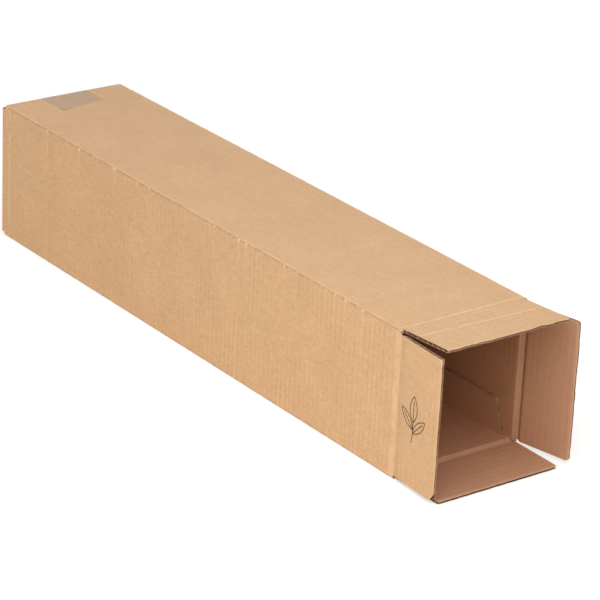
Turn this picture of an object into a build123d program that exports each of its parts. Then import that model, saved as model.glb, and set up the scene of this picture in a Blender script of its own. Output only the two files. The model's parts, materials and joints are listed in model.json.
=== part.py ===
"""Square mailing carton of corrugated board, long enough for a rolled sheet.

It lies along X on its bottom panel. The end at -X is folded shut and taped.
The four flaps at +X stand open.
"""
import os
from collections import namedtuple
from math import acos, asin, atan2, cos, hypot, sin, tan

from build123d import *

# Driving dimensions, in millimetres
inner_length = 600.0
inner_width = 125.0
inner_height = 125.0
board = 3.0
fold_radius = 2.2

# Gaps left in the middle when each pair of flaps is shut
side_flap_seam = 22.0
top_flap_seam = 15.2

# Corrugated section: two flat liners with a wavy medium glued between them
liner = 0.4
medium = 0.3
flute_pitch = 6.4
crest_radius = 1.1
glue_bite = 0.1

# Creases and the clearances that let the flaps turn and lie over each other
crease_run = 4.2
crease_web = 0.6
crease_gap = 0.2
hinge_lift = 0.1
ply_gap = 0.4
flap_side_gap = 0.5
slot_overcut = 1.0

# Free corners of the flaps, worn round where they meet the table and at the back
front_upper_corner = 1.0
front_lower_corner = 10.0
back_corner = 3.5
top_corner = 1.0
bottom_corner = 2.0

# How far each flap stands open past its wall, in degrees
front_splay = 3.0
back_splay = 12.0
top_splay = 3.5
bottom_splay = 0.0

# Glued lap inside the lower back corner
lap_width = 30.0
lap_end_slant = 10.0
lap_end_gap = 8.0
seam_groove = 1.2

# Strip of tape over the closed end, torn off slanting on the top panel
tape_width = 50.0
tape_thickness = 0.12
tape_front_overlap = 44.0
tape_back_overlap = 35.0
tape_foot_gap = 1.0

# Sizes that follow
outer_width = inner_width + 2 * board
outer_height = inner_height + 2 * board
closed_length = inner_length + 4 * board + ply_gap + hinge_lift
end_x = -closed_length / 2
wall_start_x = end_x + 2 * board
outer_crease_x = closed_length / 2
crease_setback = board + ply_gap
inner_crease_x = outer_crease_x - crease_setback
side_flap_reach = (outer_width - side_flap_seam) / 2
top_flap_reach = (outer_height - top_flap_seam) / 2
front_crease = (outer_crease_x, -outer_width / 2 - hinge_lift, outer_height / 2)
back_crease = (outer_crease_x, outer_width / 2 + hinge_lift, outer_height / 2)
top_crease = (inner_crease_x, 0, outer_height + hinge_lift)
bottom_crease = (inner_crease_x, 0, -hinge_lift)

# A flap's plane has X along the flap, Y out of the carton and Z along the crease, where its origin lies
Flap = namedtuple("Flap", "name plane span reach splay first_corner last_corner")
flaps = [
    Flap(
        "front_flap",
        Plane(front_crease, x_dir=(1, 0, 0), z_dir=(0, 0, -1)),
        inner_height,
        side_flap_reach,
        front_splay,
        front_upper_corner,
        front_lower_corner,
    ),
    Flap(
        "back_flap",
        Plane(back_crease, x_dir=(1, 0, 0), z_dir=(0, 0, 1)),
        inner_height,
        side_flap_reach,
        back_splay,
        back_corner,
        back_corner,
    ),
    Flap(
        "top_flap",
        Plane(top_crease, x_dir=(1, 0, 0), z_dir=(0, -1, 0)),
        inner_width,
        top_flap_reach,
        top_splay,
        top_corner,
        top_corner,
    ),
    Flap(
        "bottom_flap",
        Plane(bottom_crease, x_dir=(1, 0, 0), z_dir=(0, 1, 0)),
        inner_width,
        top_flap_reach,
        bottom_splay,
        bottom_corner,
        bottom_corner,
    ),
]
outside_face = -hinge_lift
inside_face = outside_face - board

os.makedirs("parts", exist_ok=True)

# Carton: one folded blank with its far end shut
with BuildPart() as carton:
    # Four walls, rounded along three folds and square where the glued lap makes the fourth corner
    with BuildSketch(Plane.YZ.offset(wall_start_x)):
        with Locations((0, outer_height / 2)):
            Rectangle(outer_width, outer_height)
            fillet(vertices().sort_by(lambda corner: corner.X - corner.Y)[:-1], fold_radius)
            Rectangle(inner_width, inner_height, mode=Mode.SUBTRACT)
    extrude(amount=outer_crease_x - wall_start_x)

    # Closed end, inner pair: the top and bottom walls fold in first
    with BuildSketch(Plane.XZ):
        with Locations((end_x + board, outer_height)):
            Rectangle(board, top_flap_reach, align=(Align.MIN, Align.MAX))
        fillet(vertices().sort_by(lambda corner: corner.X - corner.Y)[0], fold_radius)
        mirror(about=Plane.XZ.offset(-outer_height / 2))
    extrude(amount=inner_width / 2 - flap_side_gap, both=True)

    # Closed end, outer pair: the side walls fold round over them
    with BuildSketch(Plane.XY.offset(board + flap_side_gap)):
        with BuildLine():
            Polyline(
                (wall_start_x, -outer_width / 2),
                (end_x, -outer_width / 2),
                (end_x, -outer_width / 2 + side_flap_reach),
                (end_x + board, -outer_width / 2 + side_flap_reach),
                (end_x + board, -inner_width / 2),
                (wall_start_x, -inner_width / 2),
                close=True,
            )
        make_face()
        fillet(vertices().sort_by(lambda corner: corner.X + corner.Y)[0], fold_radius)
        mirror(about=Plane.XZ)
    extrude(amount=inner_height - 2 * flap_side_gap)

    # Glued lap up the inside of the back wall, with slanted ends
    lap_start_x = wall_start_x + lap_end_gap
    lap_end_x = inner_crease_x - board - lap_end_gap
    with BuildSketch(Plane.XZ.offset(-inner_width / 2)):
        with BuildLine():
            Polyline(
                (lap_start_x, board),
                (lap_end_x, board),
                (lap_end_x - lap_end_slant, board + lap_width),
                (lap_start_x + lap_end_slant, board + lap_width),
                close=True,
            )
        make_face()
    extrude(amount=board)

    # Seam under the carton where the back wall's cut edge meets the fold of the lap
    with BuildSketch(Plane.YZ.offset(wall_start_x)):
        with BuildLine():
            Polyline(
                (inner_width / 2, 0),
                (inner_width / 2, seam_groove),
                (inner_width / 2 - seam_groove, 0),
                close=True,
            )
        make_face()
    extrude(amount=outer_crease_x - wall_start_x, mode=Mode.SUBTRACT)

    # Wall ends at the open mouth, crushed thin along each crease
    for flap in flaps:
        with BuildSketch(flap.plane):
            with BuildLine():
                Polyline(
                    (-crease_gap, board),
                    (-crease_gap, outside_face),
                    (-crease_gap - crease_web, outside_face - crease_web),
                    (-crease_run, inside_face),
                    (-crease_run, inside_face - board),
                    (crease_setback + board, inside_face - board),
                    (crease_setback + board, board),
                    close=True,
                )
            make_face()
        extrude(amount=flap.span / 2, both=True, mode=Mode.SUBTRACT)

    # Slots between the open flaps, cut a little past the outer crease
    with BuildSketch(Plane.YZ.offset(outer_crease_x - slot_overcut)):
        with Locations((0, outer_height / 2)):
            with GridLocations(inner_width + board, inner_height + board, 2, 2):
                Rectangle(board, board)
    extrude(amount=slot_overcut, mode=Mode.SUBTRACT)
carton.part.label = "carton"
export_step(carton.part, "parts/carton.step")

# The medium is a zigzag whose corners are rounded to meet the liners: find the zigzag's height
crest_height = board / 2 - liner - medium / 2 + glue_bite
centre_rise = crest_height - crest_radius
half_pitch = flute_pitch / 2
centre_distance = hypot(half_pitch, 2 * centre_rise)
medium_slope = atan2(2 * centre_rise, half_pitch) + asin(2 * crest_radius / centre_distance)
zigzag_height = half_pitch / 2 * tan(medium_slope)

# Open flaps: a fluted section with an open half flute at the free edge, trimmed to the flap's outline
for flap in flaps:
    flap_plane = flap.plane.moved(Rotation(0, 0, flap.splay))
    face_plane = Plane(flap_plane.origin, x_dir=flap_plane.x_dir, z_dir=flap_plane.y_dir)
    flap_width = flap.span - 2 * flap_side_gap
    half_flutes = int((flap.reach - crease_run) / half_pitch) + 2
    with BuildPart() as open_flap:
        with BuildSketch(flap_plane):
            with BuildLine():
                FilletPolyline(
                    *[
                        (
                            flap.reach + half_pitch * (1 - step),
                            outside_face - board / 2 + zigzag_height * (-1) ** step,
                        )
                        for step in range(half_flutes + 1)
                    ],
                    radius=crest_radius,
                )
                offset(amount=medium / 2, side=Side.BOTH)
            make_face()
            with Locations((crease_run, outside_face)):
                Rectangle(flap.reach - crease_run, board, align=(Align.MIN, Align.MAX), mode=Mode.INTERSECT)
                Rectangle(flap.reach - crease_run, liner, align=(Align.MIN, Align.MAX))
            with Locations((crease_run, inside_face)):
                Rectangle(flap.reach - crease_run, liner, align=(Align.MIN, Align.MIN))
            with BuildLine():
                Polyline(
                    (crease_gap, outside_face),
                    (crease_gap + crease_web, outside_face - crease_web),
                    (crease_run, inside_face),
                    (crease_run + liner, inside_face),
                    (crease_run + liner, outside_face),
                    close=True,
                )
            make_face()
        extrude(amount=flap_width / 2, both=True)
        with BuildSketch(face_plane):
            Rectangle(flap.reach, flap_width, align=(Align.MIN, Align.CENTER))
            fillet(vertices().sort_by(lambda corner: corner.X + corner.Y)[-1], flap.first_corner)
            fillet(vertices().sort_by(lambda corner: corner.X - corner.Y)[-1], flap.last_corner)
        extrude(amount=2 * board, both=True, mode=Mode.INTERSECT)
    open_flap.part.label = flap.name
    export_step(open_flap.part, f"parts/{flap.name}.step")

# Tape: pulled straight from the fold of the top panel to the edge of the outer flaps, then down the seam
flap_edge_z = outer_height - board - flap_side_gap
fold_x = end_x + board + fold_radius
fold_z = outer_height - fold_radius
edge_distance = hypot(end_x - fold_x, flap_edge_z - fold_z)
pull_angle = atan2(fold_z - flap_edge_z, fold_x - end_x) - acos(fold_radius / edge_distance)
bend_x = fold_x - fold_radius * (1 + sin(pull_angle)) / cos(pull_angle)
with BuildPart() as closing_tape:
    with BuildSketch(Plane.XZ):
        with BuildLine():
            Polyline(
                (end_x + tape_front_overlap, outer_height),
                (bend_x, outer_height),
                (end_x, flap_edge_z),
                (end_x, board + flap_side_gap + tape_foot_gap),
            )
            offset(amount=tape_thickness, side=Side.RIGHT)
        make_face()
    extrude(amount=tape_width / 2, both=True)
    with BuildSketch(Plane.XY.offset(outer_height)):
        with BuildLine():
            Polyline(
                (end_x + tape_front_overlap, -tape_width / 2),
                (end_x + tape_back_overlap, tape_width / 2),
                (end_x + tape_front_overlap, tape_width / 2),
                close=True,
            )
        make_face()
    extrude(amount=tape_thickness, mode=Mode.SUBTRACT)
closing_tape.part.label = "closing_tape"
export_step(closing_tape.part, "parts/closing_tape.step")
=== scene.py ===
import json
import math

import bmesh
import bpy
from mathutils import Matrix, Vector, noise


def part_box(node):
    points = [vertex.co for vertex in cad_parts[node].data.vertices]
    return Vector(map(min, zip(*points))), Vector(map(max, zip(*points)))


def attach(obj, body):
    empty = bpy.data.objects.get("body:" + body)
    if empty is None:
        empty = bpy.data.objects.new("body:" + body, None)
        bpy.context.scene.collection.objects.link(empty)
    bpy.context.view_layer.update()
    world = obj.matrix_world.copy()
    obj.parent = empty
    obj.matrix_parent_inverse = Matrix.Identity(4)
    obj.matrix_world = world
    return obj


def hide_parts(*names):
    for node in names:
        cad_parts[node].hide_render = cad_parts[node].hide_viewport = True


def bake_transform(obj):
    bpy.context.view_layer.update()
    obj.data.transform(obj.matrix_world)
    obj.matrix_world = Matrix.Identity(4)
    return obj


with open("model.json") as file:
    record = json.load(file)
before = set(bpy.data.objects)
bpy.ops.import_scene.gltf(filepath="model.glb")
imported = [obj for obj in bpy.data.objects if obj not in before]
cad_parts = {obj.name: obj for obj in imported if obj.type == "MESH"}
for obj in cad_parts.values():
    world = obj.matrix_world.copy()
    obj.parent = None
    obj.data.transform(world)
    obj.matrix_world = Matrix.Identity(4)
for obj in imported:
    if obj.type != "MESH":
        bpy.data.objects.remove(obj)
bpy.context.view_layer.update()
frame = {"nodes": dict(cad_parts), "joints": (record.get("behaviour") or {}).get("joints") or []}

MM = 0.001

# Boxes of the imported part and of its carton, from the frame
carton_low, carton_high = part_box("carton")
carton_centre = (carton_low + carton_high) / 2
half_side = (carton_high.z - carton_low.z) / 2
hinges = {joint["child"]: joint for joint in frame["joints"]}

# Corrugated board
board = 3.0 * MM
fold_radius = 2.2 * MM
flute_pitch = 6.4 * MM
cuts_per_flute = 5
hinge_lift = 0.1 * MM
liner = 0.4 * MM
medium = 0.3 * MM

# Finishes of the board, in the order of its materials
outer_side, inner_side, section_side = range(3)

# Cut ends of the carton's board, hollow between the liners
shut_flap_gap = 0.5 * MM
hollow_depth = 1.6 * MM
flute_clearance = 0.1 * MM
steps_per_flute = 10
fewest_steps = 24

# Relief pressed into the flat faces
flute_sink = 0.06 * MM
flute_sink_level = 0.65
flute_sink_change = 0.5
flute_patch_size = 45 * MM
sway_depth = 0.16 * MM
sway_size = 90 * MM
fold_crush = 0.28 * MM
fold_crush_width = 1.3 * MM
fold_lump_size = 9 * MM
fold_lump_share = 0.6
fold_bump_size = 3.5 * MM
fold_bump_share = 0.5
fold_noise_row = 0.37
score_depth = 0.2 * MM
score_place = 0.4 * MM
score_width = 0.6 * MM
score_patch_size = 24 * MM
score_level = 0.6
score_change = 1.2
crease_depth = 0.26 * MM
crease_width = 2.4 * MM
crease_root = 0.3 * MM
press_depth = 0.11 * MM
press_width = 1.5 * MM

# Free edges of the flaps, crushed and frayed by the knife
edge_crush = 0.38
edge_crush_run = 2.6 * MM
edge_fray = 0.7 * MM
top_edge_fray = 2.6 * MM
edge_fray_run = 3.0 * MM
edge_fray_size = 7 * MM
edge_fray_level = 0.15

# Where the long faces are cut into rows, measured in from each fold
fold_rows = [2.6 * MM, 3.1 * MM, 3.7 * MM, 4.6 * MM, 7.0 * MM]
middle_row_gap = 16 * MM
inside_row_gap = 32 * MM
flap_row_gap = 4 * MM

# Second pressed line on the top flap, a little askew, and a line near the closed end
press_front = 21.5 * MM
press_back = 27.0 * MM
far_end_press = 16.0 * MM

# Distance given to points that lie away from a line
nowhere_near = 1.0

# How closely points and angles have to agree
weld_distance = 0.001 * MM
skin_slack = 0.03 * MM
flat_angle = math.radians(0.3)
sharp_angle = math.radians(32)

# How far a face is turned towards a direction, from 0 to 1
barely_turned = 0.05
least_slope = 0.2
half_turned = 0.5
square_on = 0.9
most_slope = 0.95


# Mesh helpers

def add_piece(name, mesh):
    """Puts a mesh into the scene as an object of that name."""
    piece = bpy.data.objects.new(name, mesh)
    bpy.context.scene.collection.objects.link(piece)
    return piece


def cut_rows(mesh, faces, axis, places):
    """Cuts the faces at each place along an axis, lowest first, and leaves the mesh whole."""
    normal = Vector((0, 0, 0))
    normal[axis] = 1
    ahead = list(faces)
    for place in sorted(places):
        edges = {edge for face in ahead for edge in face.edges}
        verts = {vert for face in ahead for vert in face.verts}
        cut = bmesh.ops.bisect_plane(
            mesh,
            geom=[*verts, *edges, *ahead],
            dist=weld_distance,
            plane_co=normal * place,
            plane_no=normal,
        )
        ahead = [
            face
            for face in cut["geom"]
            if isinstance(face, bmesh.types.BMFace)
            and max(vert.co[axis] for vert in face.verts) > place + weld_distance
        ]


def steps_between(low, high, gap):
    """Even places between two ends, about a gap apart, without the ends."""
    count = max(2, round((high - low) / gap))
    return [low + (high - low) * step / count for step in range(1, count)]


def flat_copy(node_name):
    """A node's own mesh, welded and with its flat faces merged, ready to be cut into rows."""
    mesh = bmesh.new()
    mesh.from_mesh(frame["nodes"][node_name].data)
    bmesh.ops.remove_doubles(mesh, verts=mesh.verts, dist=weld_distance)
    bmesh.ops.dissolve_limit(mesh, angle_limit=flat_angle, verts=mesh.verts, edges=mesh.edges)
    return mesh


def shade_smooth(mesh):
    """Smooth faces, with a hard line along every edge that turns sharply."""
    mesh.normal_update()
    for face in mesh.faces:
        face.smooth = True
    for edge in mesh.edges:
        edge.smooth = edge.calc_face_angle(0.0) < sharp_angle


def finish_board(mesh, piece_name, node_name, places, sides):
    """Turns a cut mesh into the shown piece: points moved and measured, and a finish for each face."""
    data = bpy.data.meshes.new(piece_name)
    for vert, place in zip(mesh.verts, places):
        vert.co = place.point
    for face, side in zip(mesh.faces, sides):
        face.material_index = side
    shade_smooth(mesh)
    mesh.to_mesh(data)
    mesh.free()
    data.attributes.remove(data.attributes["custom_normal"])
    store_measures(data, places)
    for finish in board_finishes:
        data.materials.append(finish)
    piece = add_piece(piece_name, data)
    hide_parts(node_name)
    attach(piece, node_name)


class Place:
    """A point of the board and where it lies on the unfolded sheet, as distances in metres."""

    def __init__(self, point, run=0.0, fold=nowhere_near):
        self.point = point
        self.run = run
        self.fold = fold
        self.crease = -nowhere_near
        self.press = nowhere_near
        self.edge = nowhere_near
        self.inside = 0.0


def store_measures(data, places):
    """Keeps the unfolded measures on the mesh for the materials to read."""
    for name in ("run", "fold", "crease", "press", "edge", "inside"):
        layer = data.attributes.new(name, "FLOAT", "POINT")
        layer.data.foreach_set("value", [getattr(place, name) for place in places])


# Relief of the liners

def bell(distance, width):
    """1 at no distance, fading smoothly to nothing a few widths away."""
    return math.exp(-((distance / width) ** 2))


def ripple(point, size):
    """Smooth noise from -1 to 1 with lumps of about that size."""
    return noise.noise(point / size)


def flute_dip(place):
    """How far the liner sags between two flutes, more in some patches than in others."""
    wave = 0.5 - 0.5 * math.cos(2 * math.pi * place.run / flute_pitch)
    patchy = flute_sink_level + flute_sink_change * ripple(place.point, flute_patch_size)
    return flute_sink * wave * patchy


def liner_height(place):
    """Height of the outer liner above its flat face: never proud, apart from lumps along a rounded fold."""
    height = -max(0.0, flute_dip(place))
    height -= sway_depth * (0.5 + 0.5 * ripple(place.point, sway_size))
    along = Vector((place.run, 0.0, fold_noise_row))
    lump = fold_lump_share * ripple(along, fold_lump_size)
    lump += fold_bump_share * ripple(along, fold_bump_size)
    height += fold_crush * lump * bell(place.fold, fold_crush_width)
    patchy = max(0.0, min(1.0, score_level + score_change * ripple(along, score_patch_size)))
    height -= score_depth * patchy * bell(place.fold - score_place, score_width)
    height -= crease_depth * bell(place.crease, crease_width)
    height -= press_depth * bell(place.press, press_width)
    return height


# Carton

def girth(point):
    """The outward direction at a point of the outer skin and its distance from the nearest long fold.

    The distance runs round the section: more than nothing on the sides, less on the top and bottom.
    It is None away from the outer skin.
    """
    core = half_side - fold_radius
    side = point.y - carton_centre.y
    rise = point.z - carton_centre.z
    over = Vector((0, side - max(-core, min(core, side)), rise - max(-core, min(core, rise))))
    if over.length < fold_radius - skin_slack:
        return None, nowhere_near
    turn = math.atan2(abs(over.z), abs(over.y))
    arc = fold_radius * (math.pi / 4 - turn)
    flat = max(0.0, core - abs(rise)) - max(0.0, core - abs(side))
    return over.normalized(), arc + flat


def carton_place(point):
    """Where a point of the carton lies on the sheet, with the relief added."""
    outward, fold = girth(point)
    upright = fold > 0 if outward else abs(point.y) > abs(point.z - carton_centre.z)
    flap = flaps["front_flap" if upright else "top_flap"]
    place = Place(point.copy(), point.x, fold)
    place.crease, place.press = flap.lines(point.x - flap.origin.x, point.y)
    if upright:
        place.press = point.x - carton_low.x - far_end_press
    if point.x < carton_low.x + skin_slack:
        place.run = point.x - (half_side - abs(point.y))
        place.point.x -= liner_height(Place(point, place.run))
    elif abs(point.x - carton_low.x - board) < skin_slack and not outward:
        place.run = point.x - (half_side - abs(point.z - carton_centre.z))
    elif outward:
        sink = -liner_height(place)
        place.point -= outward * sink
        if point.x > flap.origin.x - crease_root:
            place.point.x -= sink
    elif min(point.y - carton_low.y, carton_high.y - point.y) > board - skin_slack:
        place.point += inner_push(point) * max(0.0, flute_dip(place))
    for axis in (1, 2):
        place.point[axis] = max(carton_low[axis], min(carton_high[axis], place.point[axis]))
    return place


def inner_push(point):
    """Direction from the inside face into the board, or nothing away from the inner walls."""
    side = point.y - carton_centre.y
    rise = point.z - carton_centre.z
    wall = half_side - board
    if abs(abs(side) - wall) < skin_slack and abs(rise) < wall:
        return Vector((0, math.copysign(1, side), 0))
    if abs(abs(rise) - wall) < skin_slack and abs(side) < wall:
        return Vector((0, 0, math.copysign(1, rise)))
    return Vector((0, 0, 0))


def carton_side(face):
    """Which finish a face of the carton has. The hollowed ends were marked before the rows were cut."""
    if face.material_index == section_side:
        return section_side
    centre = face.calc_center_median()
    lengthways = face.normal.x
    if girth(centre)[0] and abs(lengthways) < half_turned:
        return outer_side
    if centre.x < carton_low.x + 2 * board - skin_slack:
        if lengthways < -barely_turned:
            return outer_side
        return inner_side if lengthways > square_on else section_side
    cut_end = abs(lengthways) > square_on and centre.x > carton_centre.x
    return section_side if cut_end else inner_side


def long_faces(mesh, axis, level):
    """Faces that lie flat, square to an axis, at one of the two levels each side of the carton's centre."""
    return [
        face
        for face in mesh.faces
        if abs(face.normal[axis]) > square_on
        and abs(abs(face.calc_center_median()[axis] - carton_centre[axis]) - level) < skin_slack
    ]


def hollow_cut_ends(mesh):
    """Hollows the cut ends of the glued lap and of the shut flaps between their liners.

    It returns the middle line of each hollow, as a start, an end, the way in and the way across the board.
    """
    ends = []
    lines = []
    lap_middle = half_side - 1.5 * board
    shut_flap_rise = half_side - board - shut_flap_gap
    for face in mesh.faces:
        centre = face.calc_center_median()
        if abs(centre.y - lap_middle) < skin_slack:
            sides = [edge.verts[1].co - edge.verts[0].co for edge in face.edges]
            run = max(sides, key=lambda side: side.length)
            lines.append((centre - run / 2, centre + run / 2, -face.normal, Vector((0, 1, 0))))
            ends.append(face)
        elif (
            abs(abs(centre.z - carton_centre.z) - shut_flap_rise) < skin_slack
            and abs(face.normal.z) > square_on
        ):
            middle = carton_low.x + board / 2
            side = math.copysign(1, centre.y)
            fold = Vector((middle, side * (half_side - board), centre.z))
            free = Vector((middle, side * min(abs(vert.co.y) for vert in face.verts), centre.z))
            lines.append((fold, free, -face.normal, Vector((1, 0, 0))))
            ends.append(face)
    rims = bmesh.ops.inset_individual(mesh, faces=ends, thickness=liner, use_even_offset=True)
    walls = bmesh.ops.inset_individual(mesh, faces=ends, thickness=weld_distance, depth=-hollow_depth)
    for face in [*ends, *rims["faces"], *walls["faces"]]:
        face.material_index = section_side
    return lines


def make_flute_ends(lines):
    """The wavy medium that shows in the hollowed ends of the board."""
    points = []
    faces = []
    swing = board / 2 - liner - medium / 2
    for start, end, inward, across in lines:
        run = end - start
        rim = liner / run.length
        crossing = abs(run.normalized().x) or 1.0
        waves = run.length * crossing / flute_pitch

        def point_at(down, over, layer):
            offset = swing * math.cos(2 * math.pi * waves * down) + medium * (layer - 0.5)
            depth = flute_clearance + (hollow_depth - 2 * flute_clearance) * over
            return start + run * (rim + down * (1 - 2 * rim)) + across * offset + inward * depth

        add_sheet(points, faces, max(fewest_steps, round(waves * steps_per_flute)), 1, point_at)
    data = sheet_mesh("carton_flute_ends", points, faces)
    data.materials.append(board_section)
    piece = add_piece(data.name, data)
    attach(piece, "carton")


def make_carton():
    """The folded blank with fluted, slightly uneven walls and crushed folds."""
    mesh = flat_copy("carton")
    make_flute_ends(hollow_cut_ends(mesh))
    flute_cuts = steps_between(carton_low.x, carton_high.x, flute_pitch / cuts_per_flute)
    cut_rows(mesh, mesh.faces, 0, flute_cuts)
    inside = half_side - board
    for flat_axis, row_axis in ((1, 2), (2, 1)):
        low = carton_centre[row_axis] - half_side
        high = carton_centre[row_axis] + half_side
        rows = [low + row for row in fold_rows] + [high - row for row in fold_rows]
        rows += steps_between(low + fold_rows[-1], high - fold_rows[-1], middle_row_gap)
        cut_rows(mesh, long_faces(mesh, flat_axis, half_side), row_axis, rows)
        inside_rows = steps_between(low + board, high - board, inside_row_gap)
        cut_rows(mesh, long_faces(mesh, flat_axis, inside), row_axis, inside_rows)
    mesh.normal_update()
    places = [carton_place(vert.co) for vert in mesh.verts]
    sides = [carton_side(face) for face in mesh.faces]
    finish_board(mesh, "carton_board", "carton", places, sides)


# Flaps

class Flap:
    """A flap's own axes: along it from the crease, out of its printed face, and across its width."""

    def __init__(self, name):
        joint = hinges[name]
        node = frame["nodes"][name]
        self.name = name
        self.origin = Vector(joint["pos_m"])
        self.wall_out = Vector((0, self.origin.y, self.origin.z - carton_centre.z)).normalized()
        outer_faces = [face for face in node.data.polygons if face.normal.dot(self.wall_out) > square_on]
        self.out = max(outer_faces, key=lambda face: face.area).normal.copy()
        self.across = Vector(joint["axis"])
        self.along = self.out.cross(self.across)
        if self.along.x < 0:
            self.along.negate()
        corners = [self.measure(vert.co) for vert in node.data.vertices]
        self.reach = max(corner[0] for corner in corners)
        self.half_width = max(corner[2] for corner in corners)

    def measure(self, point):
        """Distances of a point along the flap, out of it and across it."""
        offset = point - self.origin
        return offset.dot(self.along), offset.dot(self.out), offset.dot(self.across)

    def lines(self, along, across):
        """Distances from the soft crease of a side flap and from the nearest sharp line of the others."""
        if abs(self.wall_out.y) > half_turned:
            return along, nowhere_near
        if self.name != "top_flap":
            return -nowhere_near, along
        share = 0.5 + 0.5 * across / self.half_width
        second = along - press_front - (press_back - press_front) * share
        return -nowhere_near, min(along, second, key=abs)

    def point(self, along, across):
        """A point of the flap's outer face."""
        return self.origin + self.along * along + self.across * across - self.out * hinge_lift

    def place(self, point):
        """Where a point of the flap lies on the sheet, before any relief."""
        along, _, across = self.measure(point)
        place = Place(point.copy(), self.origin.x + along)
        place.crease, place.press = self.lines(along, across)
        place.edge = min(self.half_width - abs(across), self.reach - along)
        place.inside = max(0.0, place.edge)
        return place


def flap_place(flap, point):
    """Where a point of a flap lies on the sheet, with the relief of its two liners added."""
    place = flap.place(point)
    along, height, across = flap.measure(point)
    depth = -height - hinge_lift
    to_edge = flap.reach - along
    squeeze = edge_crush * max(0.0, 1 - to_edge / edge_crush_run) ** 2
    place.point += flap.out * (depth - board / 2) * squeeze
    fray = top_edge_fray if flap.name == "top_flap" else edge_fray
    torn = max(0.0, edge_fray_level + ripple(Vector((across, 0.0, flap.origin.z)), edge_fray_size))
    place.point -= flap.along * fray * torn * max(0.0, 1 - to_edge / edge_fray_run)
    if depth < skin_slack:
        sink = -liner_height(place)
        place.point -= flap.out * sink
        if along < crease_root:
            place.point += flap.along * sink
    elif depth > board - skin_slack:
        place.point += flap.out * max(0.0, flute_dip(place))
    return place


def flap_side(flap, face):
    """Which finish a face of a flap has. The crushed slope at the crease is inner liner too."""
    depth = -flap.measure(face.calc_center_median())[1] - hinge_lift
    facing = face.normal.dot(flap.out)
    if depth < skin_slack and facing > square_on:
        return outer_side
    inner_face = depth > board - skin_slack and facing < -square_on
    crushed = least_slope < -facing < most_slope and face.normal.dot(flap.along) < -least_slope
    return inner_side if inner_face or crushed else section_side


def make_flap(flap):
    """A flap with real flutes between two uneven liners."""
    mesh = flat_copy(flap.name)
    low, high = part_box(flap.name)
    cut_rows(mesh, mesh.faces, 0, steps_between(low.x, high.x, flute_pitch / cuts_per_flute))
    across_axis = max(range(3), key=lambda axis: abs(flap.across[axis]))
    rows = steps_between(low[across_axis], high[across_axis], flap_row_gap)
    cut_rows(mesh, mesh.faces, across_axis, rows)
    mesh.normal_update()
    places = [flap_place(flap, vert.co) for vert in mesh.verts]
    sides = [flap_side(flap, face) for face in mesh.faces]
    finish_board(mesh, f"{flap.name}_board", flap.name, places, sides)


# Thin sheets that lie on the board

def add_sheet(points, faces, rows, columns, point_at):
    """Adds a closed thin sheet to lists of points and faces: two layers of a grid and the rim between."""
    first = len(points)
    width = columns + 1
    layer_size = width * (rows + 1)
    for layer in (0, 1):
        for row in range(rows + 1):
            for column in range(columns + 1):
                points.append(point_at(row / rows, column / columns, layer))
    for row in range(rows):
        for column in range(columns):
            corner = first + row * width + column
            quad = [corner, corner + 1, corner + width + 1, corner + width]
            faces.append(quad)
            faces.append([layer_size + index for index in reversed(quad)])
    rim = list(range(columns))
    rim += [row * width + columns for row in range(rows)]
    rim += [rows * width + column for column in range(columns, 0, -1)]
    rim += [row * width for row in range(rows, 0, -1)]
    for index, corner in enumerate(rim):
        low = first + corner
        following = first + rim[(index + 1) % len(rim)]
        faces.append([following, low, layer_size + low, layer_size + following])


def sheet_mesh(name, points, faces):
    """A mesh of sheets with every face turned outwards."""
    data = bpy.data.meshes.new(name)
    data.from_pydata(points, [], faces)
    shape = bmesh.new()
    shape.from_mesh(data)
    bmesh.ops.recalc_face_normals(shape, faces=shape.faces)
    shade_smooth(shape)
    shape.to_mesh(data)
    shape.free()
    return data


# Outer liner across the creases

liner_reach = 3.0 * MM
liner_columns = 16
liner_row_gap = 2.0 * MM
liner_lift = 0.05 * MM
liner_foot = 0.008 * MM


def liner_place(flap, along, across, lift):
    """A place of the liner near the crease: on the wall before it and on the flap after it."""
    on_wall = along < 0
    forward = Vector((1, 0, 0)) if on_wall else flap.along
    out = flap.wall_out if on_wall else flap.out
    base = flap.origin + forward * along + flap.across * across - out * hinge_lift
    place = Place(base, flap.origin.x + along)
    place.crease, place.press = flap.lines(along, across)
    place.point = base + out * (liner_height(place) + lift)
    return place


def make_crease_liner(flap):
    """The strip of outer liner that runs on over a crease, from the wall onto the flap."""
    rows = round(2 * flap.half_width / liner_row_gap)
    places = []
    faces = []

    def place_at(down, over, layer):
        share = 2 * over - 1
        thickness = liner_foot + (liner_lift - liner_foot) * (1 - share ** 4)
        lift = thickness if layer else liner_foot / 2
        return liner_place(flap, liner_reach * share, flap.half_width * (2 * down - 1), lift)

    add_sheet(places, faces, rows, liner_columns, place_at)
    data = sheet_mesh(f"{flap.name}_crease_liner", [place.point for place in places], faces)
    store_measures(data, places)
    data.materials.append(outer_kraft)
    piece = add_piece(data.name, data)
    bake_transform(piece)


# Small print on the front flap: a plain sprig with three leaves

sprig_along = 22.0
sprig_across = -2.5
sprig_leaves = [((0, -3), (0, 20), 9.5), ((0, -9), (-15.5, 6), 7.5), ((0, -12), (15.5, 3), 7.5)]
sprig_stem = [(0, -3), (0.6, -12), (-1.2, -21)]
sprig_rib_share = 0.8
stroke_width = 0.8 * MM
stroke_steps = 24
ink_lift = 0.05 * MM
ink_thickness = 0.02 * MM


def curve(first, middle, last):
    """Points along a smooth curve from the first to the last, pulled towards the middle one."""
    first, middle, last = Vector(first), Vector(middle), Vector(last)
    shares = [step / stroke_steps for step in range(stroke_steps + 1)]
    return [first * (1 - s) ** 2 + middle * 2 * s * (1 - s) + last * s ** 2 for s in shares]


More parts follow.
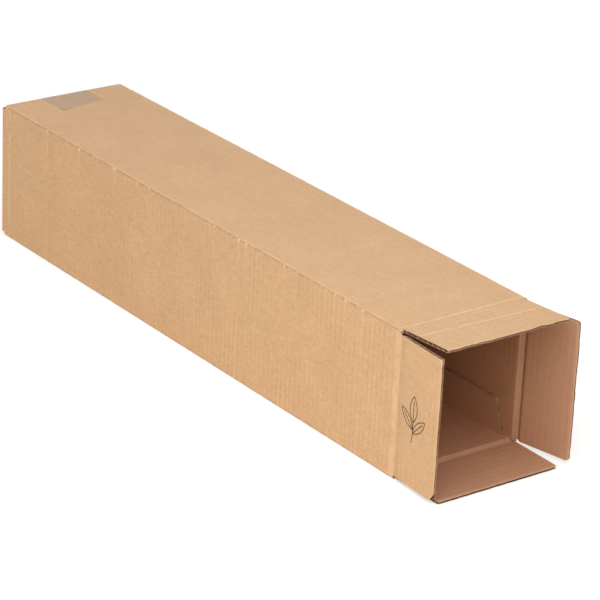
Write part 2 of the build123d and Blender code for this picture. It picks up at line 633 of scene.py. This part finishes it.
def sprig_strokes():
    """The strokes of the print, in millimetres: a stem, and two sides and a rib for each leaf."""
    strokes = [curve(*sprig_stem)]
    for base, tip, swell in sprig_leaves:
        base, tip = Vector(base), Vector(tip)
        middle = (base + tip) / 2
        sideways = (tip - base).normalized().orthogonal() * swell
        strokes.append(curve(base, middle + sideways, tip))
        strokes.append(curve(base, middle - sideways, tip))
        strokes.append(curve(base, middle, base.lerp(tip, sprig_rib_share)))
    return strokes


def make_print(flap):
    """Thin lines of ink that follow the flap's outer liner."""
    points = []
    faces = []
    for stroke in sprig_strokes():
        bends = [(after - before).normalized() for before, after in zip(stroke, stroke[1:])]
        bends.append(bends[-1])

        def point_at(down, over, layer):
            step = round(down * stroke_steps)
            spot = stroke[step] * MM + bends[step].orthogonal() * stroke_width * (over - 0.5)
            base = flap.point(sprig_along * MM + spot.x, sprig_across * MM + spot.y)
            return base + flap.out * (liner_height(flap.place(base)) + ink_lift + ink_thickness * layer)

        add_sheet(points, faces, stroke_steps, 1, point_at)
    data = sheet_mesh("front_flap_print", points, faces)
    data.materials.append(print_ink)
    piece = add_piece(data.name, data)
    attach(piece, flap.name)


# Corner of the tape, folded over on itself

tape_corner_leg = 7.0 * MM
tape_corner_inset = 0.2 * MM
tape_corner_lift = 0.02 * MM
tape_corner_thickness = 0.2 * MM


def make_tape_corner():
    """The small doubled corner at the near end of the tape."""
    low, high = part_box("closing_tape")
    spots = [vert.co for vert in frame["nodes"]["closing_tape"].data.vertices]
    top = [spot for spot in spots if spot.z > high.z - skin_slack]
    near = max((spot for spot in top if spot.y < low.y + skin_slack), key=lambda spot: spot.x)
    far = max((spot for spot in top if spot.y > high.y - skin_slack), key=lambda spot: spot.x)
    torn = (far - near).normalized()
    tip = near + Vector((-tape_corner_inset, tape_corner_inset, tape_corner_lift))
    outline = [tip, tip + torn * tape_corner_leg, tip - Vector((tape_corner_leg, 0, 0))]
    upper = [spot + Vector((0, 0, tape_corner_thickness)) for spot in outline]
    faces = [(0, 1, 2), (3, 4, 5), (0, 1, 4, 3), (1, 2, 5, 4), (2, 0, 3, 5)]
    data = sheet_mesh("tape_corner", outline + upper, faces)
    data.materials.append(tape_fold)
    piece = add_piece("tape_corner", data)
    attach(piece, "carton")


# Node helpers

def add_node(tree, kind, inputs=None, **settings):
    """Adds a node with its settings, and gives each input a value or a socket to read."""
    node = tree.nodes.new(kind)
    for name, value in settings.items():
        setattr(node, name, value)
    for name, value in (inputs or {}).items():
        if isinstance(value, bpy.types.NodeSocket):
            tree.links.new(value, node.inputs[name])
        else:
            node.inputs[name].default_value = value
    return node


def calculate(tree, operation, *values):
    """The result of a math node."""
    return add_node(tree, "ShaderNodeMath", dict(enumerate(values)), operation=operation).outputs[0]


def fade(tree, value, full, gone):
    """1 where a value is at full, smoothly down to 0 where it is at gone."""
    inputs = {"Value": value, "From Min": gone, "From Max": full}
    return add_node(tree, "ShaderNodeMapRange", inputs, interpolation_type="SMOOTHSTEP").outputs[0]


def speckle(tree, vector, size, detail=2.0):
    """Noise from 0 to 1 with lumps of about that size."""
    inputs = {"Vector": vector, "Scale": 1 / size, "Detail": detail}
    return add_node(tree, "ShaderNodeTexNoise", inputs).outputs["Fac"]


def speckle_along(tree, run, size, detail=2.0):
    """Noise from 0 to 1 that changes only along the sheet."""
    inputs = {"W": run, "Scale": 1 / size, "Detail": detail}
    return add_node(tree, "ShaderNodeTexNoise", inputs, noise_dimensions="1D").outputs["Fac"]


def stretch(tree, vector, shares):
    """Coordinates scaled by a share along each axis."""
    inputs = {0: vector, 1: shares}
    return add_node(tree, "ShaderNodeVectorMath", inputs, operation="MULTIPLY").outputs[0]


def blend_colours(tree, amount, first, second):
    """A mix of two colours."""
    return add_node(tree, "ShaderNodeMix", {0: amount, 6: first, 7: second}, data_type="RGBA").outputs[2]


def new_group(name, inputs, outputs):
    """An empty node group with named sockets: its tree, what comes in and what goes out."""
    tree = bpy.data.node_groups.new(name, "ShaderNodeTree")
    for socket in inputs:
        kind = "NodeSocketVector" if socket == "Vector" else "NodeSocketFloat"
        tree.interface.new_socket(socket, in_out="INPUT", socket_type=kind)
    for socket in outputs:
        tree.interface.new_socket(socket, in_out="OUTPUT", socket_type="NodeSocketFloat")
    return tree, tree.nodes.new("NodeGroupInput").outputs, tree.nodes.new("NodeGroupOutput").inputs


def use_group(tree, group, inputs):
    """Places a node group in a material and returns its outputs."""
    return add_node(tree, "ShaderNodeGroup", inputs, node_tree=group).outputs


def new_material(name):
    """A material with a bare Principled shader: the material, its tree and the shader's inputs."""
    material = bpy.data.materials.new(name)
    material.use_nodes = True
    tree = material.node_tree
    tree.nodes.clear()
    shader = tree.nodes.new("ShaderNodeBsdfPrincipled")
    output = tree.nodes.new("ShaderNodeOutputMaterial")
    tree.links.new(shader.outputs[0], output.inputs[0])
    return material, tree, shader.inputs


def measure(tree, name):
    """One of the unfolded measures kept on the mesh."""
    return add_node(tree, "ShaderNodeAttribute", attribute_name=name).outputs["Fac"]


def relief(tree, height, distance, strength):
    """A normal roughened by a height that varies over a distance."""
    inputs = {"Height": height, "Distance": distance, "Strength": strength}
    return add_node(tree, "ShaderNodeBump", inputs).outputs[0]


def rays_that_see(tree):
    """1 for the rays that show a thing as it is, 0 for those that carry its light."""
    rays = add_node(tree, "ShaderNodeLightPath").outputs
    seen = calculate(tree, "MAXIMUM", rays["Is Camera Ray"], rays["Is Glossy Ray"])
    return calculate(tree, "MAXIMUM", seen, rays["Is Transmission Ray"])


# Effects that several finishes share

# Sizes of the paper's own unevenness, and its stretch along the sheet
cloud_size = 40 * MM
patch_size = 5 * MM
grain_size = 1.1 * MM
fleck_size = 1.8 * MM
grain_stretch = (0.45, 1.0, 1.0)

# Lines over the flutes, painted shade and highlight of the liner's ripple: where along the carton they are
# clear and faint, and how they change
lines_clear = 150 * MM
lines_faint = -300 * MM
line_patch_size = 60 * MM
line_share = 0.4
line_share_on_top = 0.2
streak_size = 2.2 * MM

# Strokes that start at a fold and run down the side
stroke_size = 6 * MM
stroke_start = 6 * MM
stroke_end = 62 * MM
stroke_strength = 0.6

# Marks along a fold, worn scuffs with a painted shade on the score and a painted highlight on the lip: their
# place below it or above it, their core and blur, and their sizes along it
scuff_place = 0.9 * MM
scuff_size = 6 * MM
scuff_cluster_size = 50 * MM
score_dash_size = 7 * MM
score_least = 0.6
lip_place = -1.3 * MM
lip_patch_size = 20 * MM
mark_core = 0.4 * MM
score_core = 0.5 * MM
mark_blur = 1.6 * MM
scuff_blur = 1.7 * MM

# Pressed lines wander in strength over this size
press_patch_size = 14 * MM


def make_paper_fibres():
    """Cloudy paper with fine grain along the sheet and a few dark flecks."""
    tree, given, made = new_group("paper_fibres", ["Vector", "Grain", "Cloud"], ["Tone", "Fleck", "Height"])
    along = stretch(tree, given["Vector"], grain_stretch)
    cloud = calculate(tree, "SUBTRACT", speckle(tree, given["Vector"], cloud_size, detail=3.0), 0.5)
    patch = calculate(tree, "SUBTRACT", speckle(tree, along, patch_size), 0.5)
    grain = calculate(tree, "SUBTRACT", speckle(tree, along, grain_size, detail=3.0), 0.5)
    soft = calculate(tree, "MULTIPLY", calculate(tree, "ADD", cloud, patch), given["Cloud"])
    fine = calculate(tree, "MULTIPLY", grain, given["Grain"])
    tree.links.new(calculate(tree, "ADD", soft, fine), made["Tone"])
    tree.links.new(fade(tree, speckle(tree, along, fleck_size), full=0.78, gone=0.70), made["Fleck"])
    tree.links.new(grain, made["Height"])
    return tree


def make_flute_lines():
    """Faint lines over the flutes, partly painted shade and highlight of the liner's ripple and partly
    random streaks, fainter on top and at the closed end, and some that start at a fold.
    """
    tree, given, made = new_group("flute_lines", ["Vector", "Run", "Fold"], ["Line"])
    # Painted shade and highlight, one pair to each flute, where the liner sags between them
    turns = calculate(tree, "MULTIPLY", given["Run"], 2 * math.pi / flute_pitch)
    wave = calculate(tree, "COSINE", turns)
    sharp = calculate(tree, "MULTIPLY", wave, calculate(tree, "ABSOLUTE", wave))
    streaks = calculate(tree, "SUBTRACT", speckle_along(tree, given["Run"], streak_size), 0.5)
    lines = calculate(tree, "MULTIPLY_ADD", sharp, line_share, streaks)
    patches = fade(tree, speckle(tree, given["Vector"], line_patch_size), full=0.66, gone=0.34)
    on_side = calculate(tree, "GREATER_THAN", given["Fold"], 0.0)
    towards_mouth = fade(tree, given["Run"], full=lines_clear, gone=lines_faint)
    mouth_strength = calculate(tree, "MULTIPLY_ADD", towards_mouth, 0.5, 0.5)
    by_side = calculate(tree, "MULTIPLY_ADD", on_side, 1.0 - line_share_on_top, line_share_on_top)
    strength = calculate(tree, "MULTIPLY", patches, calculate(tree, "MULTIPLY", mouth_strength, by_side))
    below_fold = fade(tree, given["Fold"], full=stroke_start, gone=stroke_end)
    near_fold = calculate(tree, "MULTIPLY", below_fold, on_side)
    strokes = fade(tree, speckle_along(tree, given["Run"], stroke_size, detail=1.0), full=0.74, gone=0.64)
    started = calculate(tree, "MULTIPLY", calculate(tree, "MULTIPLY", strokes, near_fold), stroke_strength)
    tree.links.new(calculate(tree, "MULTIPLY_ADD", lines, strength, started), made["Line"])
    return tree


def make_pressed_line_shading():
    """A line pressed into the sheet, shown in colour: a painted highlight on the lip up to it and painted
    shade on the side after it.
    """
    tree, given, made = new_group("pressed_line_shading", ["Vector", "Distance", "Width"], ["Pale", "Dark"])
    steady = fade(tree, speckle(tree, given["Vector"], press_patch_size), full=0.58, gone=0.20)
    place = calculate(tree, "DIVIDE", given["Distance"], given["Width"])
    before = fade(tree, place, full=-0.10, gone=0.06)
    after = fade(tree, place, full=0.06, gone=-0.10)
    # Painted highlight on the lip before the line, painted shade on its root after it
    highlit_lip = calculate(tree, "MULTIPLY", fade(tree, place, full=-0.5, gone=-1.6), before)
    shaded_root = calculate(tree, "MULTIPLY", fade(tree, place, full=0.1, gone=1.6), after)
    tree.links.new(calculate(tree, "MULTIPLY", highlit_lip, steady), made["Pale"])
    tree.links.new(calculate(tree, "MULTIPLY", shaded_root, steady), made["Dark"])
    return tree


def line_at(tree, distance, place, core, blur):
    """A soft line: 1 within its core about a place, down to 0 at its blur."""
    away = calculate(tree, "ABSOLUTE", calculate(tree, "SUBTRACT", distance, place))
    return fade(tree, away, full=core, gone=blur)


def make_fold_scuffs_and_shading():
    """A crushed fold: pale scuffs of uneven size, painted shade along the score beside it and a painted
    highlight on the lip above it.
    """
    tree, given, made = new_group("fold_scuffs_and_shading", ["Fold", "Run"], ["Pale", "Lip", "Dark"])
    ridge = line_at(tree, given["Fold"], scuff_place, mark_core, scuff_blur)
    scuffs = fade(tree, speckle_along(tree, given["Run"], scuff_size, detail=1.0), full=0.80, gone=0.56)
    lumps = speckle_along(tree, given["Run"], scuff_cluster_size, detail=1.0)
    clusters = fade(tree, lumps, full=0.55, gone=0.30)
    pale = calculate(tree, "MULTIPLY", ridge, calculate(tree, "MULTIPLY", scuffs, clusters))
    tree.links.new(pale, made["Pale"])
    # Painted shade along the score, in dashes, kept off the scuffs
    score = line_at(tree, given["Fold"], score_place, score_core, mark_blur)
    dashes = fade(tree, speckle_along(tree, given["Run"], score_dash_size, detail=3.0), full=0.54, gone=0.44)
    shown = calculate(tree, "MULTIPLY_ADD", dashes, 1.0 - score_least, score_least)
    clear = calculate(tree, "SUBTRACT", 1.0, pale)
    painted_score_shade = calculate(tree, "MULTIPLY", score, shown)
    tree.links.new(calculate(tree, "MULTIPLY", painted_score_shade, clear), made["Dark"])
    # Painted highlight on the lip above the fold
    highlit_lip = line_at(tree, given["Fold"], lip_place, mark_core, mark_blur)
    uneven = fade(tree, speckle_along(tree, given["Run"], lip_patch_size), full=0.66, gone=0.30)
    tree.links.new(calculate(tree, "MULTIPLY", highlit_lip, uneven), made["Lip"])
    return tree


paper_fibres = make_paper_fibres()
flute_lines = make_flute_lines()
pressed_line_shading = make_pressed_line_shading()
fold_scuffs_and_shading = make_fold_scuffs_and_shading()

# Colours, as linear values
outer_dark = (0.555, 0.312, 0.143, 1)
outer_pale = (0.815, 0.494, 0.248, 1)
# Inner liner: partly the inner paper's own browner colour, partly painted shade and painted warm bounce
# light from inside the box
inner_shaded_dark = (0.465, 0.228, 0.118, 1)
inner_shaded_pale = (0.615, 0.322, 0.180, 1)
section_dark = (0.200, 0.100, 0.052, 1)
section_pale = (0.680, 0.415, 0.245, 1)
# Painted shade deep in the open flutes
flute_shade_colour = (0.030, 0.016, 0.009, 1)
scuff_colour = (0.960, 0.680, 0.430, 1)
# Painted highlight on the lips of the creases, pressed lines and folds
lip_highlight_colour = (0.950, 0.615, 0.345, 1)
# Painted shade at the creases, pressed lines and score, and also the colour of the real dark fibre flecks
shade_and_fleck_colour = (0.300, 0.150, 0.070, 1)
film_colour = (0.460, 0.470, 0.470, 1)
amber_colour = (0.560, 0.280, 0.105, 1)
ink_colour = (0.035, 0.026, 0.020, 1)
ink_worn = (0.120, 0.075, 0.045, 1)

# Marks on the liners, painted highlight and painted shade among them: how wide they are and how strongly
# they show
crease_mark_width = 7.0 * MM
press_mark_width = 2.6 * MM
fray_mark_width = 0.9 * MM
fray_speck_size = 2 * MM
scuff_strength = 0.65
fray_strength = 0.7
crease_shade = 0.5
press_shade = 0.3
score_shade = 0.45
fleck_shade = 0.2

# Paper and flutes
liner_cloud = 0.45
fibre_height = 0.12 * MM
section_grain = 1.3
section_cloud = 0.8
section_height = 0.2 * MM
flute_light_depth = 0.2 * MM
flute_shadow_depth = 2.4 * MM

# Tape and ink
film_stretch = (0.08, 1.0, 0.08)
film_streak_size = 1.5 * MM
film_air_size = 4 * MM
film_air_cover = 0.05
film_darkest = 0.75
film_wrinkle_size = 9 * MM
film_wrinkle_height = 0.4 * MM
ink_wear_size = 1.2 * MM


def make_kraft_liner(name, dark, pale, grain, line_strength, crease_strength, fibre_bump):
    """Matt kraft paper over flutes, with its creases, scuffed folds and fibres, and painted highlight and
    painted shade along its creases, pressed lines and folds.
    """
    material, tree, shader = new_material(name)
    vector = add_node(tree, "ShaderNodeTexCoord").outputs["Object"]
    run = measure(tree, "run")
    from_fold = measure(tree, "fold")
    fibres = use_group(tree, paper_fibres, {"Vector": vector, "Grain": grain, "Cloud": liner_cloud})
    lines = use_group(tree, flute_lines, {"Vector": vector, "Run": run, "Fold": from_fold})
    # Painted shading of the flute lines added to the paper's random tone
    tone = calculate(tree, "MULTIPLY_ADD", lines["Line"], line_strength, fibres["Tone"])
    colour = blend_colours(tree, calculate(tree, "ADD", tone, 0.5), dark, pale)
    crease_inputs = {"Vector": vector, "Distance": measure(tree, "crease"), "Width": crease_mark_width}
    crease = use_group(tree, pressed_line_shading, crease_inputs)
    press_inputs = {"Vector": vector, "Distance": measure(tree, "press"), "Width": press_mark_width}
    press = use_group(tree, pressed_line_shading, press_inputs)
    fold = use_group(tree, fold_scuffs_and_shading, {"Fold": from_fold, "Run": run})
    at_edge = fade(tree, measure(tree, "edge"), full=0.0, gone=fray_mark_width)
    frayed = calculate(tree, "MULTIPLY", at_edge, speckle(tree, vector, fray_speck_size))
    pressed_highlight = calculate(tree, "MAXIMUM", crease["Pale"], press["Pale"])
    line_and_lip_highlight = calculate(tree, "MAXIMUM", pressed_highlight, fold["Lip"])
    painted_highlight = calculate(tree, "MULTIPLY", line_and_lip_highlight, crease_strength)
    scuffed = calculate(tree, "MULTIPLY", fold["Pale"], scuff_strength)
    sharp_pale = calculate(tree, "MAXIMUM", scuffed, calculate(tree, "MULTIPLY", frayed, fray_strength))
    # Painted highlight along the creases, pressed lines and fold lip
    colour = blend_colours(tree, painted_highlight, colour, lip_highlight_colour)
    colour = blend_colours(tree, sharp_pale, colour, scuff_colour)
    # Painted shade beside the creases and pressed lines and along the score, together with the real dark
    # fibre flecks
    painted_crease_shade = calculate(tree, "MULTIPLY", crease["Dark"], crease_shade * crease_strength)
    painted_press_shade = calculate(tree, "MULTIPLY", press["Dark"], press_shade * crease_strength)
    painted_line_shade = calculate(tree, "MAXIMUM", painted_crease_shade, painted_press_shade)
    painted_score_shade = calculate(tree, "MULTIPLY", fold["Dark"], score_shade)
    shade_and_flecks = calculate(tree, "MAXIMUM", painted_score_shade, calculate(tree, "MULTIPLY", fibres["Fleck"], fleck_shade))
    colour = blend_colours(tree, calculate(tree, "MAXIMUM", painted_line_shade, shade_and_flecks), colour, shade_and_fleck_colour)
    tree.links.new(colour, shader["Base Color"])
    rough = calculate(tree, "MULTIPLY_ADD", fibres["Height"], 0.2, 0.60)
    tree.links.new(rough, shader["Roughness"])
    tree.links.new(relief(tree, fibres["Height"], fibre_height, fibre_bump), shader["Normal"])
    shader["Specular IOR Level"].default_value = 0.6
    return material


def make_board_section():
    """Cut edges and flutes: coarser paper, with painted shade that darkens it the deeper it lies in a flute.
    """
    material, tree, shader = new_material("board_section")
    vector = add_node(tree, "ShaderNodeTexCoord").outputs["Object"]
    inputs = {"Vector": vector, "Grain": section_grain, "Cloud": section_cloud}
    fibres = use_group(tree, paper_fibres, inputs)
    colour = blend_colours(tree, calculate(tree, "ADD", fibres["Tone"], 0.5), section_dark, section_pale)
    # Painted shade, fuller the deeper a point lies in a flute from the cut edge
    painted_flute_shade = fade(tree, measure(tree, "inside"), full=flute_shadow_depth, gone=flute_light_depth)
    colour = blend_colours(tree, painted_flute_shade, colour, flute_shade_colour)
    tree.links.new(colour, shader["Base Color"])
    tree.links.new(relief(tree, fibres["Height"], section_height, 0.8), shader["Normal"])
    shader["Roughness"].default_value = 0.9
    shader["Specular IOR Level"].default_value = 0.2
    return material


def make_film(name, tint, solidity):
    """Clear packing tape over the board: a grey veil with faint streaks and a smooth shine."""
    material, tree, shader = new_material(name)
    vector = add_node(tree, "ShaderNodeTexCoord").outputs["Object"]
    streaks = speckle(tree, stretch(tree, vector, film_stretch), film_streak_size, detail=3.0)
    air = fade(tree, speckle(tree, vector, film_air_size, detail=3.0), full=0.72, gone=0.52)
    darker = tuple(film_darkest * part for part in tint[:3]) + (1,)
    tree.links.new(blend_colours(tree, streaks, darker, tint), shader["Base Color"])
    cover = calculate(tree, "MULTIPLY_ADD", air, film_air_cover, solidity)
    tree.links.new(cover, shader["Alpha"])
    rough = calculate(tree, "MULTIPLY_ADD", streaks, 0.12, 0.16)
    tree.links.new(rough, shader["Roughness"])
    wrinkles = speckle(tree, vector, film_wrinkle_size)
    tree.links.new(relief(tree, wrinkles, film_wrinkle_height, 0.5), shader["Normal"])
    shader["Specular IOR Level"].default_value = 0.5
    return material


def make_print_ink():
    """Dull black ink, worn thin over the paper's grain."""
    material, tree, shader = new_material("print_ink")
    vector = add_node(tree, "ShaderNodeTexCoord").outputs["Object"]
    worn = fade(tree, speckle(tree, vector, ink_wear_size, detail=3.0), full=0.72, gone=0.46)
    tree.links.new(blend_colours(tree, worn, ink_colour, ink_worn), shader["Base Color"])
    shader["Roughness"].default_value = 0.6
    shader["Specular IOR Level"].default_value = 0.3
    return material


outer_kraft = make_kraft_liner(
    "outer_kraft",
    outer_dark,
    outer_pale,
    grain=1.25,
    line_strength=0.28,
    crease_strength=0.38,
    fibre_bump=0.7,
)
# Inner liner, its colours darkened and reddened by painted shade and painted bounce light
inner_kraft_shaded = make_kraft_liner(
    "inner_kraft_shaded",
    inner_shaded_dark,
    inner_shaded_pale,
    grain=0.8,
    line_strength=0.45,
    crease_strength=0.10,
    fibre_bump=0.35,
)
board_section = make_board_section()
tape_film = make_film("tape_film", film_colour, solidity=0.11)
tape_fold = make_film("tape_fold", amber_colour, solidity=0.9)
print_ink = make_print_ink()
board_finishes = [outer_kraft, inner_kraft_shaded, board_section]

# Object

flaps = {name: Flap(name) for name in ("front_flap", "back_flap", "top_flap", "bottom_flap")}
make_carton()
for flap in flaps.values():
    make_flap(flap)
    make_crease_liner(flap)
make_print(flaps["front_flap"])
make_tape_corner()

tape_node = frame["nodes"]["closing_tape"]
tape_node.data.materials.clear()
tape_node.data.materials.append(tape_film)


# Studio

floor_reach = 12.0
floor_gap = 0.2 * MM
floor_colour = (0.81, 0.785, 0.735, 1)
floor_glow = 0.45
floor_far_glow = 0.35
floor_fade_start = 0.7
floor_fade_end = 2.2
surround_level = 0.55
low_tint = (1.08, 0.975, 0.70, 1)
high_tint = (0.95, 1.025, 1.17, 1)
white = (1, 1, 1, 1)
camera_place = Vector((1939.3, -1410.0, 1056.6)) * MM
camera_azimuth = 52.746
camera_elevation = 23.135
camera_roll = 2.740
sensor_width = 36.0
lens = 175.65


def make_floor():
    """A wide pale floor that keeps the shadow and looks white."""
    material, tree, shader = new_material("studio_floor")
    seen = rays_that_see(tree)
    shader["Base Color"].default_value = floor_colour
    shader["Roughness"].default_value = 1.0
    shader["Specular IOR Level"].default_value = 0.0
    shader["Emission Color"].default_value = white
    place = add_node(tree, "ShaderNodeTexCoord").outputs["Object"]
    away = add_node(tree, "ShaderNodeVectorMath", {0: place}, operation="LENGTH").outputs["Value"]
    distant = fade(tree, away, full=floor_fade_end, gone=floor_fade_start)
    glow = calculate(tree, "MULTIPLY_ADD", distant, floor_far_glow, floor_glow)
    tree.links.new(calculate(tree, "MULTIPLY", seen, glow), shader["Emission Strength"])
    level = carton_low.z - floor_gap
    data = bpy.data.meshes.new("floor")
    corners = [(x * floor_reach, y * floor_reach, level) for x, y in ((-1, -1), (1, -1), (1, 1), (-1, 1))]
    data.from_pydata(corners, [], [(0, 1, 2, 3)])
    data.materials.append(material)
    add_piece("floor", data)


def make_softbox(name, aim, towards, distance, side, power, tint):
    """A square soft light that looks at a point."""
    lamp = bpy.data.lights.new(name, "AREA")
    lamp.shape = "SQUARE"
    lamp.size = side
    lamp.energy = power
    lamp.color = tint
    light = bpy.data.objects.new(name, lamp)
    bpy.context.scene.collection.objects.link(light)
    direction = Vector(towards).normalized()
    light.location = Vector(aim) + direction * distance
    light.rotation_euler = direction.to_track_quat("Z", "Y").to_euler()


def make_world():
    """A pale surround, warmer low down than overhead, that is white where it is seen."""
    world = bpy.data.worlds.new("studio")
    bpy.context.scene.world = world
    world.use_nodes = True
    tree = world.node_tree
    tree.nodes.clear()
    seen = rays_that_see(tree)
    strength = calculate(tree, "MULTIPLY_ADD", seen, 1.0 - surround_level, surround_level)
    direction = add_node(tree, "ShaderNodeTexCoord").outputs["Generated"]
    rise = add_node(tree, "ShaderNodeSeparateXYZ", {0: direction}).outputs["Z"]
    tint = blend_colours(tree, fade(tree, rise, full=0.9, gone=0.1), low_tint, high_tint)
    tint = blend_colours(tree, seen, tint, white)
    surround = add_node(tree, "ShaderNodeBackground", {"Color": tint, "Strength": strength})
    output = tree.nodes.new("ShaderNodeOutputWorld")
    tree.links.new(surround.outputs[0], output.inputs[0])


def make_camera():
    """The photograph's own view: a long lens, tilted a little."""
    azimuth = math.radians(camera_azimuth)
    elevation = math.radians(camera_elevation)
    back = Vector(
        (
            math.sin(azimuth) * math.cos(elevation),
            -math.cos(azimuth) * math.cos(elevation),
            math.sin(elevation),
        )
    )
    right = Vector((math.cos(azimuth), math.sin(azimuth), 0))
    right.rotate(Matrix.Rotation(math.radians(camera_roll), 3, back))
    up = back.cross(right)
    camera = bpy.data.objects.new("camera", bpy.data.cameras.new("camera"))
    camera.data.sensor_width = sensor_width
    camera.data.lens = lens
    camera.data.clip_end = 100
    turn = Matrix((right, up, back)).transposed()
    camera.matrix_world = Matrix.Translation(camera_place) @ turn.to_4x4()
    bpy.context.scene.collection.objects.link(camera)
    bpy.context.scene.camera = camera


make_floor()
make_world()
make_softbox(
    "key",
    aim=(0.36, -0.03, 0.09),
    towards=(0.40, -0.64, 0.95),
    distance=1.40,
    side=1.5,
    power=15.6,
    tint=(0.975, 1.01, 1.09),
)
make_softbox(
    "mouth_fill",
    aim=(0.30, 0, 0.07),
    towards=(1, -0.35, 0.35),
    distance=2.2,
    side=1.2,
    power=4.5,
    tint=(1, 1, 1),
)
make_camera()
bpy.context.scene.view_settings.view_transform = "Standard"
